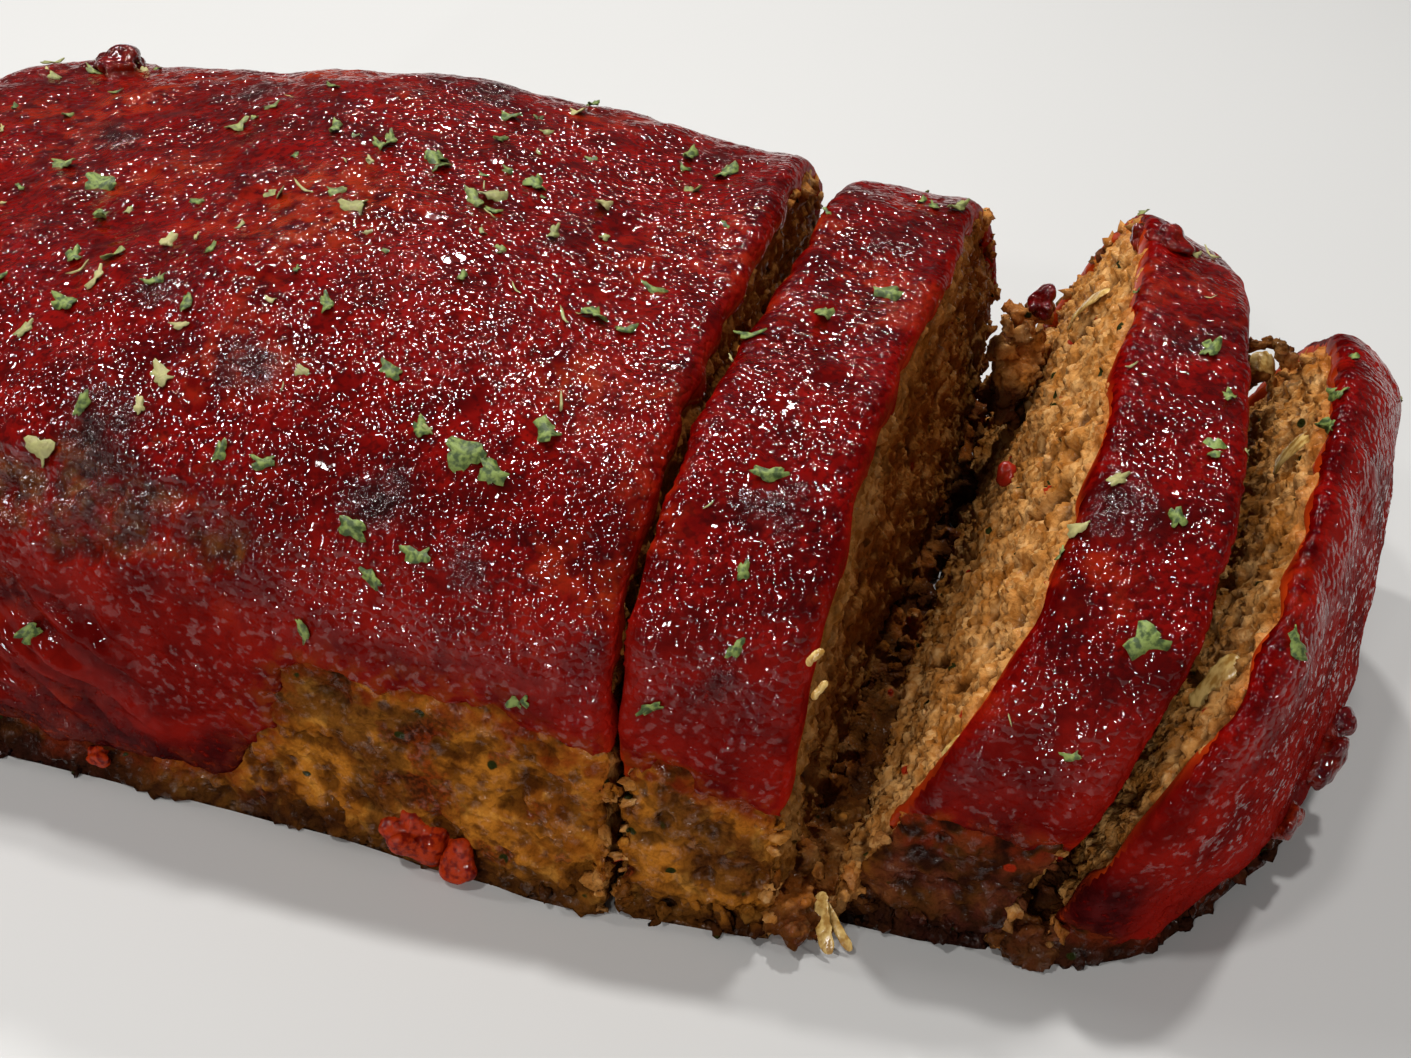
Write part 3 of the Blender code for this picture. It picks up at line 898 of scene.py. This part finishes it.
def fill_gap(left, right):
    """A web of torn meat that closes the bottom of the gap between two slices, and scraps on it."""
    left_low = left.places[(left.kind == CUT) & (left.out[:, 0] > 0.5) & (left.places[:, 2] < WEB_FOOT)]
    right_face = (right.kind == CUT) & (right.out[:, 0] < -0.5)
    right_low = right.places[right_face & (right.places[:, 2] < WEB_FOOT)]
    across = tree_of(right_low)
    order = np.argsort(left_low[:, 1])
    for step in range(WEB_LUMPS):
        start = Vector(left_low[order[int((step + 0.5) / WEB_LUMPS * len(order))]])
        end, _, gap = across.find(start)
        for share in np.arange(0.1, 1, WEB_STEP / max(gap, WEB_STEP)):
            place = start.lerp(end, share + 0.08 * chance.uniform(-1, 1))
            place.z = chance.uniform(0, 2.5) * MM
            clod(place, (0, 0, 1), chance.uniform(2.8, 4) * MM)
            place.z = chance.uniform(1.5, 5) * MM
            clod(place, tilt(), chance.uniform(1.2, 2.4) * MM)


fill_gap(slices["slice_1"][0], slices["slice_2"][0])
fill_gap(slices["slice_2"][0], slices["end_slice"][0])

CLUMPS = (
    ((58, 36, 23), (2.5, 6, 9), 40, 2.2), ((48, 42, 38), (2.5, 5, 6), 16, 1.8),
    ((90, 26, 36), (3, 4, 4), 10, 1.8), ((84, 22, 28), (2, 5, 8), 14, 1.8),
    ((47, -52, 2), (5, 3, 2), 14, 1.8), ((73, -46, 2), (4, 3, 2), 10, 1.6),
)
for middle, spread, count, reach in CLUMPS:
    for _ in range(count):
        way = tilt()
        place = Vector(middle) * MM
        place += Vector([part * size * MM for part, size in zip(way, spread)])
        clod(place, tilt(), reach * chance.uniform(0.6, 1.4) * MM)

web = gather("meat_web", clods)
remake(web, WEB_SQUARE)
smooth(web, 3)
places = places_of(web.data)
big = grains(places, 2.4 * MM, 31)
fine = grains(places, 1.2 * MM, 32)
middle = bumps(places, 3 * MM, 33)
places += directions_of(web.data) * (MM * (0.4 * (big - 0.5) + 0.3 * (fine - 0.5) + 0.6 * middle))[:, None]
places[:, 2] = np.maximum(places[:, 2], 0)
move_to(web.data, places)
# Painted shade: low in the gaps, the web is painted darker towards the floor.
deep = 1 - smooth_step(4 * MM, 13 * MM, places[:, 2])
note(
    web.data,
    cut=0.4 + 0.6 * smooth_step(-0.2, 0.2, bumps(places, 8 * MM, 34)),
    grain=0.1 + 0.5 * big + 0.3 * fine + 0.5 * middle - 0.8 * deep,
    bare=6 + 0 * deep, facing=0 * deep, rim=2.5 + 3 * bumps(places, 5 * MM, 35),
)
crumbs = gather("meat_scraps", scraps)
for piece in (web, crumbs):
    piece.data.materials.append(meat_look)

# ----------------------------------------------------------
# Lumps of sauce: thicker blobs that the brush left on the crown, at the far ends and at the foot
# of the block and the heel. They are the glaze itself, so they sink into it. Those at the foot
# stayed out of the heat and are more orange.
# ----------------------------------------------------------

SAUCE_LUMPS = (
    (-82, 32, 51, 4.2), (-78, 30, 52, 2.8), (-88, 26, 49, 3.0), (-30, 42, 50, 2.4), (74, 20.5, 53, 3.2),
    (70, 26, 50, 1.8), (3, -58, 3.4, 3.6), (5.4, -59.4, 2.2, 3.0), (0.8, -58.5, 5, 2.6),
    (59, 36, 34, 2.8), (104, -24, 13, 3.4), (101.5, -31, 9, 2.6), (106, -18, 14, 2.2),
    (-40, -56, 3.4, 1.8), (-58, -55, 5, 2.2),
)
FOOT_HEIGHT = 6


def nearest_on(shells, place):
    """The nearest place on any of these shells, and which way it faces."""
    return min((shell.find_nearest(place) for shell in shells), key=lambda hit: hit[3])[:2]


loaf_shells = [shell_of(piece.data) for piece in coats + meats + [web]]
lumps = []
for index, (x, y, z, reach) in enumerate(SAUCE_LUMPS):
    places, faces = lump_shape(40 + index, 4, 0.22)
    place, facing = nearest_on(loaf_shells, Vector((x, y, z)) * MM)
    size = (reach * MM, 0.8 * reach * MM, 0.6 * reach * MM)
    shaped = turned(places, facing, index, size, place)
    shaped[:, 2] = np.maximum(shaped[:, 2], 0)
    top, pale = (0.35, 2) if z < FOOT_HEIGHT else (0.7, 0.35 * (index % 3))
    notes = {"edge": 5, "lip": 0, "top": top, "thin": 0, "facing": 0, "scorch": 0.1, "pale": pale, "rim": 9}
    lumps.append((shaped, faces, notes))
sauce = gather("sauce_lumps", lumps)
sauce.data.materials.append(glaze_look)

# ----------------------------------------------------------
# What was mixed into the meat and shows on the cut faces: cooked onion in pale see-through
# strips, one bit of red pepper, and two shreds of onion pulled out at the foot.
# ----------------------------------------------------------

ONION_STRIPS = (
    ((64, 27, 35), (68, 23, 44), 2.2, 0.5, 0.4),
    ((90.5, 1, 35), (93.5, -1, 43), 2.4, 0.5, 0.4),
    ((83.4, -34.5, 27), (86.2, -33.5, 35), 2.4, 0.5, 0.4),
    ((48.3, -51.5, 4.6), (50.6, -56.8, 0.9), 1.9, 0.22, 0.4),
    ((48.8, -52, 3.6), (52.8, -55.6, 0.8), 1.2, 0.2, 0.3),
    ((58.8, -46.6, 24.5), (60.4, -45.8, 27.6), 1.3, 0.7, 0.2),
    ((44, -50.5, 37.5), (45.4, -50, 39.5), 0.9, 0.5, 0.2),
    ((45, -51.5, 34), (46.2, -50.6, 36), 0.8, 0.5, 0.2),
    ((87.5, 23, 37), (91, 24.5, 35), 3.0, 0.5, 0.6),
)


def strip(start, end, width, thick, bow):
    """A flat strip with rounded ends from one place to another, bowed in the middle."""
    only(block_meat)
    bpy.ops.mesh.primitive_uv_sphere_add(segments=14, ring_count=18, radius=1)
    places, faces = shape_of(bpy.context.active_object)
    ends, begins = Vector(end) * MM, Vector(start) * MM
    along = places[:, 2]
    fullness = (1 - along**6) ** 0.5
    middle = np.sqrt(np.maximum(1 - along**2, 1e-6))
    places[:, 0] *= width / 2 * MM * fullness / middle
    places[:, 1] *= thick / 2 * MM * fullness / middle
    frayed = places / (width * MM)
    places[:, 0] *= 1 + 0.2 * bumps(frayed, 1.1, 5)
    places[:, 1] += bow * MM * (1 - along**2) * 2 + 0.2 * MM * bumps(frayed, 1.2, 6)
    places[:, 2] = along * (ends - begins).length / 2
    return turned(places, ends - begins, 0.6, (1, 1, 1), (begins + ends) / 2), faces


def onion_finish():
    """Cooked soft: straw colour with fibres along it, and wet."""
    material, place = new_finish("onion")
    fibres = place.stretched(1, 1, 3).cloud(0.8 * MM, 2)
    colour = fibres.from_to(0.35, 0.65).mix(paint(160, 118, 54), paint(212, 178, 108))
    normal = place.add("Bump", {}, {"Strength": 0.5, "Distance": 0.25 * MM, "Height": fibres}, "Normal")
    set_finish(material, Base_Color=colour, Roughness=0.14 + 0.2 * fibres, Normal=normal)
    return material


strips = [strip(*sizes) + ({},) for sizes in ONION_STRIPS]
onion = gather("onion_strips", strips)
onion.data.materials.append(onion_finish())

PEPPER_SIZE = (1.9 * MM, 1.3 * MM, 1.2 * MM)
PEPPER_PLACE = (0.0595, 0.011, 0.021)

places, faces = lump_shape(90, 3, 0.2)
places = turned(places, (-1, 0, 0.3), 1, PEPPER_SIZE, PEPPER_PLACE)
pepper = gather("red_pepper", [(places, faces, {})])
pepper_look, place = new_finish("red_pepper")
skin = place.cloud(1.2 * MM, 2)
skin_colour = skin.mix(paint(130, 18, 10), paint(190, 50, 26))
set_finish(pepper_look, Base_Color=skin_colour, Roughness=0.2 + 0.1 * skin)
pepper.data.materials.append(pepper_look)

# ----------------------------------------------------------
# Parsley: dried flakes and bits of stem sprinkled on top. Each is a thin curled scrap of a lobed
# leaf, stuck to the glaze. Most are soft green, some are pale straw.
# ----------------------------------------------------------

PLACED_FLAKES = (
    (-58.5, -7, 53, 3.2), (-52, -23, 52, 2.2), (2.5, -50, 41, 2.6), (4.6, -41, 48, 3.2), (-9, -56, 32, 2.2),
    (15, -18, 52, 2.2), (-18, 7, 57, 2.4), (12, -36, 49, 2.4), (-26, 7, 58, 2.0), (10, 26.5, 53, 2.6),
    (-8, 39, 53, 2.8), (-38, -44.5, 48, 2.4), (-2, -53, 39, 2.4), (-43, -57, 24, 2.4), (15, -57, 29, 1.8),
    (42, -1, 52.5, 2.4), (36, -36, 49, 2.6), (36, -46, 44, 1.6), (29, -55, 31, 2.2), (76, -40, 40, 3.0),
    (79, -3, 53, 2.6), (77, -29, 48, 2.0), (71, -48, 30, 1.6), (-5, -49, 42, 2.6), (8, -42, 47, 2.4),
)
PLACED_SHARE = 0.78
RANDOM_FLAKES = ((-106, 22, 140), (26, 50, 12), (60, 84, 13), (90, 106, 5))
FLAKES_NEAR, FLAKES_FAR = -52, 48
ABOVE_LOAF = 80
STEM_CHANCE = 0.16
LEAST_UPWARD = 0.3


def leaf_shape(seed, lobes, narrow):
    """A thin curled bit of leaf about 2 units long."""
    only(block_meat)
    bpy.ops.mesh.primitive_circle_add(vertices=20, radius=1, fill_type="TRIFAN")
    leaf = bpy.context.active_object
    places = places_of(leaf.data)
    angle = np.arctan2(places[:, 1], places[:, 0])
    ragged = 0.5 + 0.5 * np.abs(np.cos(lobes * angle / 2 + seed)) + 0.35 * bumps(places, 0.5, seed)
    places = places * ragged[:, None]
    places[:, 1] *= narrow
    places[:, 2] = 0.28 * places[:, 0] ** 2 - 0.5 * places[:, 1] ** 2 + 0.3 * bumps(places, 0.8, seed + 2)
    move_to(leaf.data, places)
    finish_with(leaf, "SOLIDIFY", thickness=0.07, offset=0)
    return shape_of(leaf)


leaf_shapes = [leaf_shape(index, 3 + index % 3, (0.85, 0.6, 0.45)[index % 3]) for index in range(9)]
stem_shapes = [leaf_shape(20 + index, 1, 0.13) for index in range(3)]
coat_shells = loaf_shells[: len(coats)]
flakes = []


def flake(place, facing, size, shapes, tone):
    """Lays one flake almost flat on the glaze. The higher its tone, the more it is like straw."""
    facing = (Vector(facing) + 0.3 * tilt()).normalized()
    places, faces = chance.choice(shapes)
    lifted = Vector(place) + Vector(facing) * 0.16 * size
    places = turned(places, facing, chance.uniform(0, ANY_SPIN), (size,) * 3, lifted)
    flakes.append((places, faces, {"tone": tone}))


for x, y, z, reach in PLACED_FLAKES:
    place, facing = nearest_on(loaf_shells, Vector((x, y, z)) * MM)
    flake(place, facing, PLACED_SHARE * reach * MM, leaf_shapes, chance.uniform(0, 0.45))
for left, right, count in RANDOM_FLAKES:
    while count:
        across = chance.uniform(left, right)
        start = Vector((across, chance.uniform(FLAKES_NEAR, FLAKES_FAR), ABOVE_LOAF)) * MM
        hits = [hit for hit in (shell.ray_cast(start, (0, 0, -1)) for shell in coat_shells) if hit[0]]
        if not hits or max(hits, key=lambda hit: hit[0].z)[1].z < LEAST_UPWARD:
            continue
        place, facing, _, _ = max(hits, key=lambda hit: hit[0].z)
        stem = chance.random() < STEM_CHANCE
        size = chance.uniform(0.6, 2.1) * MM
        tone = 0.9 if stem else chance.random() ** 1.4
        flake(place, facing, size, stem_shapes if stem else leaf_shapes, tone)
        count -= 1
parsley = gather("parsley", flakes)
leaf_look, place = new_finish("parsley")
tone = place.noted("tone")
veins = place.cloud(0.7 * MM, 2)
green = veins.from_to(0.35, 0.65).mix(paint(50, 70, 20), paint(122, 140, 66))
green = (tone.from_to(0.3, 1) * 0.85).mix(green, paint(178, 168, 112))
normal = place.add("Bump", {}, {"Strength": 0.5, "Distance": 0.3 * MM, "Height": veins}, "Normal")
set_finish(leaf_look, Base_Color=green, Roughness=0.5 + 0.2 * veins, Normal=normal)
parsley.data.materials.append(leaf_look)

for dense, _ in pieces:
    bpy.data.objects.remove(dense.piece)

# ----------------------------------------------------------
# The floor, the lights and the camera. Every lamp is small and bright, so that the sticky glaze
# shows crisp glints. Four hang over the loaf for the tops, and the rest stand further out, at the
# sides and in front, for the walls and the cut faces.
# ----------------------------------------------------------

FLOOR_WIDTH = 4
FLOOR_DARKER = (0.53, 0.53, 0.525, 1)
FLOOR_LIGHTER = (0.56, 0.56, 0.555, 1)
WARM_WHITE = (1, 0.985, 0.96)
LAMPS = (
    ("lamp_0", (-0.16, -0.20, 0.66), (0, 0, 0.03), 0.06, 1.2),
    ("lamp_1", (-0.14, 0.50, 0.62), (0, 0, 0.03), 0.06, 2.8),
    ("lamp_2", (0.14, 0.26, 0.80), (0, 0, 0.03), 0.06, 2.2),
    ("lamp_3", (-0.42, 0.20, 0.72), (0, 0, 0.03), 0.06, 2.7),
    ("left", (-0.75, -0.05, 0.42), (0.03, 0, 0.02), 0.12, 1.6),
    ("fill", (-0.15, -0.9, 0.65), (0, 0, 0.02), 0.08, 1.5),
    ("right", (0.78, -0.20, 0.38), (0.05, 0, 0.02), 0.06, 1.1),
    ("low", (-0.14, -0.80, 0.17), (0, 0, 0.02), 0.05, 1.5),
)
ROOM_LIGHT = 0.08
LENS = 38.29
SENSOR = 36
CAMERA_PLACE = (0.05937, -0.15743, 0.14086)
CAMERA_AIM = (0.02655, -0.02376, 0.03)
CAMERA_ROLL = math.radians(2.22)

only(block_meat)
bpy.ops.mesh.primitive_plane_add(size=FLOOR_WIDTH)
floor = bpy.context.active_object
floor.name = "floor"
pale, place = new_finish("pale_floor")
tint = place.cloud(0.4).mix(FLOOR_DARKER, FLOOR_LIGHTER)
set_finish(pale, Base_Color=tint, Roughness=0.55)
floor.data.materials.append(pale)


def lamp(name, place, aim, width, watts):
    """A round lamp that points from its place to its aim."""
    light = bpy.data.lights.new(name, "AREA")
    light.shape = "DISK"
    light.size = width
    light.energy = watts
    light.color = WARM_WHITE
    made = stand(name, light)
    made.location = place
    made.rotation_euler = (Vector(aim) - Vector(place)).to_track_quat("-Z", "Y").to_euler()


for row in LAMPS:
    lamp(*row)

world = bpy.data.worlds.new("room")
bpy.context.scene.world = world
world.use_nodes = True
world.node_tree.nodes["Background"].inputs["Color"].default_value = (1, 1, 1, 1)
world.node_tree.nodes["Background"].inputs["Strength"].default_value = ROOM_LIGHT
bpy.context.scene.view_settings.view_transform = "Standard"

camera_data = bpy.data.cameras.new("camera")
camera_data.lens = LENS
camera_data.sensor_width = SENSOR
camera_data.clip_start = 0.01
camera = stand("camera", camera_data)
level = (Vector(CAMERA_AIM) - Vector(CAMERA_PLACE)).to_track_quat("-Z", "Y").to_matrix()
turn = level @ Matrix.Rotation(CAMERA_ROLL, 3, "Z")
camera.matrix_world = Matrix.Translation(CAMERA_PLACE) @ turn.to_4x4()
bpy.context.scene.camera = camera
